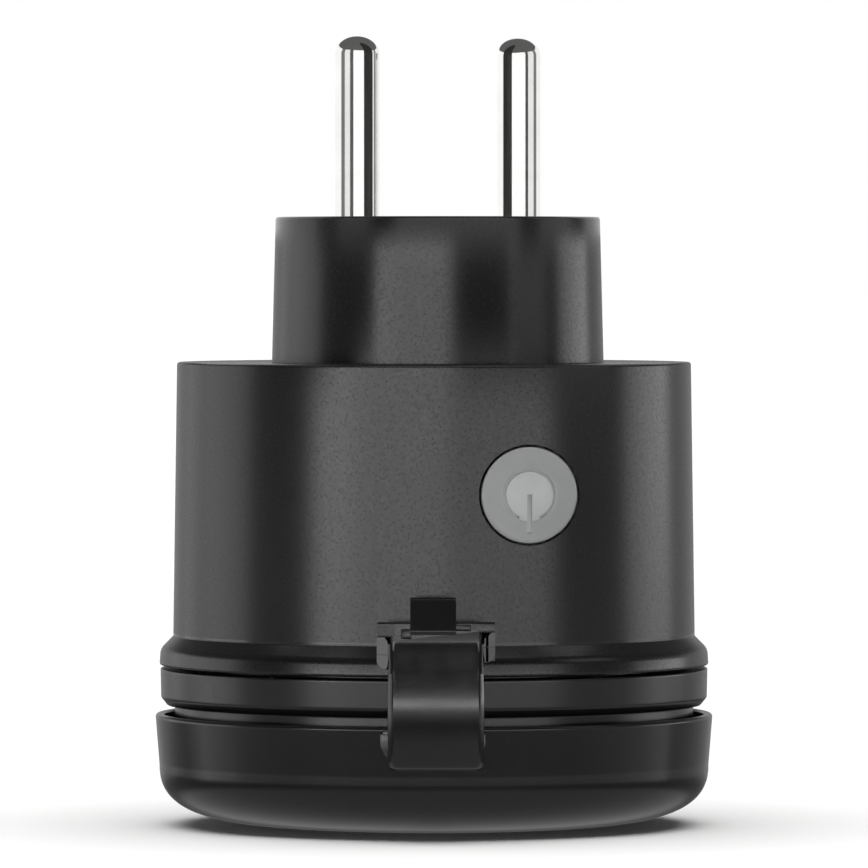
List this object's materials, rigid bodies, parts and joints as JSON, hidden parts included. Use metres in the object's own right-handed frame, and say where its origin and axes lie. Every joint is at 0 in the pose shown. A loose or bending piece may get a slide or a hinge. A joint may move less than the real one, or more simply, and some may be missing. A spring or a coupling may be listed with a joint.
{
  "type": "outdoor smart plug",
  "caption": "Round outdoor smart plug: pass-through mains adapter with pins, power button, sprung hinged socket lid and front rocker latch.",
  "frame": {"origin": "centre of the lid's flat bottom, the lowest point as it stands with its pins up", "axes": "+Z from the lid to the tips of the plug pins, -Y the latch and button side, +Y the hinge side, +X to the right seen from the latch side"},
  "size_m": [0.0588, 0.068, 0.083],
  "materials": {
    "housing_black": "fine spark-eroded grain, satin black",
    "latch_gloss": "polished black",
    "button_grey": "frosted translucent grey",
    "nickel_plate": "bright nickel plate",
    "brass": "plain stamped brass",
    "seal_rubber": "matte black rubber",
    "insulator": "moulded thermoset",
    "circuit_board": "green solder mask",
    "component_black": "moulded epoxy",
    "component_blue": "moulded plastic",
    "tin_steel": "tinned steel",
    "ceramic_white": "white moulding"
  },
  "bodies": {
    "housing": {"main_housing": "housing_black", "front_collar": "housing_black", "housing_seal": "seal_rubber", "housing_screw_1": "nickel_plate", "housing_screw_2": "nickel_plate", "housing_screw_3": "nickel_plate", "housing_screw_4": "nickel_plate", "hinge_pin": "nickel_plate", "hinge_spring": "tin_steel", "latch_pin": "nickel_plate", "latch_spring": "tin_steel", "plug_pin_live": "nickel_plate", "plug_pin_neutral": "nickel_plate", "pin_carrier": "housing_black", "earth_receptacle": "brass", "earth_strap": "brass", "socket_earth_pin": "nickel_plate", "contact_housing": "insulator", "socket_contact_live": "brass", "socket_contact_neutral": "brass", "live_busbar": "brass", "neutral_busbar": "brass", "shutter_pivot": "brass", "shutter_spring": "tin_steel", "power_board": "circuit_board", "control_board": "circuit_board", "relay": "component_blue", "transformer": "component_black", "capacitor": "component_black", "varistor": "component_blue", "fuse": "ceramic_white", "wifi_module": "tin_steel", "tact_switch": "component_black", "status_led": "ceramic_white"},
    "lid": {"lid_shell": "housing_black", "lid_seal": "seal_rubber"},
    "latch": {"latch_lever": "latch_gloss"},
    "button": {"power_button": "button_grey"},
    "plunger": {"switch_plunger": "ceramic_white"},
    "shutter": {"shutter": "insulator"}
  },
  "joints": [
    {"name": "lid_hinge", "type": "hinge", "parent": "housing", "child": "lid", "pos_m": [0, 0.03165, 0.0188], "axis": [1, 0, 0], "range_deg": [0, 115], "stiffness_Nm_per_rad": 0.01, "springref_deg": -28.65, "deforming": ["hinge_spring"]},
    {"name": "latch_pivot", "type": "hinge", "parent": "housing", "child": "latch", "pos_m": [0.0002, -0.0312, 0.02], "axis": [-1, 0, 0], "range_deg": [0, 16], "stiffness_Nm_per_rad": 0.04, "springref_deg": -22.92, "deforming": ["latch_spring"]},
    {"name": "button_press", "type": "slide", "parent": "housing", "child": "button", "axis": [0, 1, 0], "range_m": [0, 0.0006], "stiffness_N_per_m": 400, "springref_m": -0.001},
    {"name": "switch_press", "type": "slide", "parent": "housing", "child": "plunger", "axis": [0, 1, 0], "range_m": [0, 0.0006]},
    {"name": "shutter_turn", "type": "hinge", "parent": "housing", "child": "shutter", "pos_m": [0, 0, 0.0296], "axis": [0, 0, 1], "range_deg": [0, 42], "stiffness_Nm_per_rad": 0.002, "springref_deg": -17.19, "deforming": ["shutter_spring"]}
  ],
  "couplings": [
    {"joint": "switch_press", "follows": "button_press", "ratio": 1}
  ]
}
